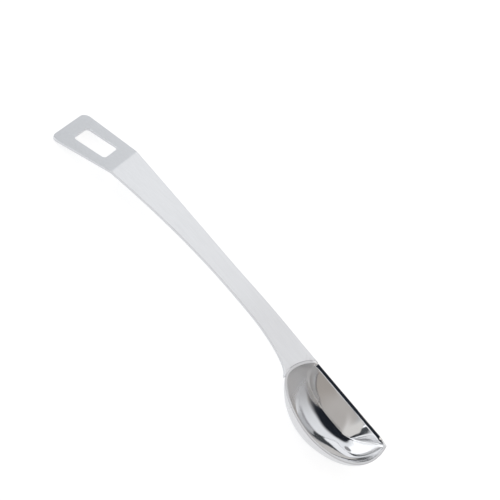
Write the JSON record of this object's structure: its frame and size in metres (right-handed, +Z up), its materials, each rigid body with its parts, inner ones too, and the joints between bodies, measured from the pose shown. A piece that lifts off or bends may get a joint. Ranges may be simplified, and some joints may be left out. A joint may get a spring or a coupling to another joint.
{
  "type": "tea measuring spoon",
  "caption": "Steel tea measuring spoon: mirror-polished half-moon bowl with a straight wall and a pouring lip, welded to an arched satin strap handle with a bent, slotted hanging tab.",
  "frame": {"origin": "on the surface the spoon lies on, under the middle of its overall length and width", "axes": "+X along the handle from the hanging tab to the pouring lip, +Y towards the bowl's straight wall, +Z up out of the bowl's mouth"},
  "size_m": [0.1678, 0.034, 0.0141],
  "materials": {
    "polished_steel": "mirror-polished stainless steel",
    "satin_steel": "fine satin stainless steel, brushed lengthwise",
    "weld_steel": "dressed weld, slightly duller than the strap"
  },
  "bodies": {
    "root": {"bowl": "polished_steel", "handle": "satin_steel", "weld_seam": "weld_steel"}
  },
  "joints": []
}
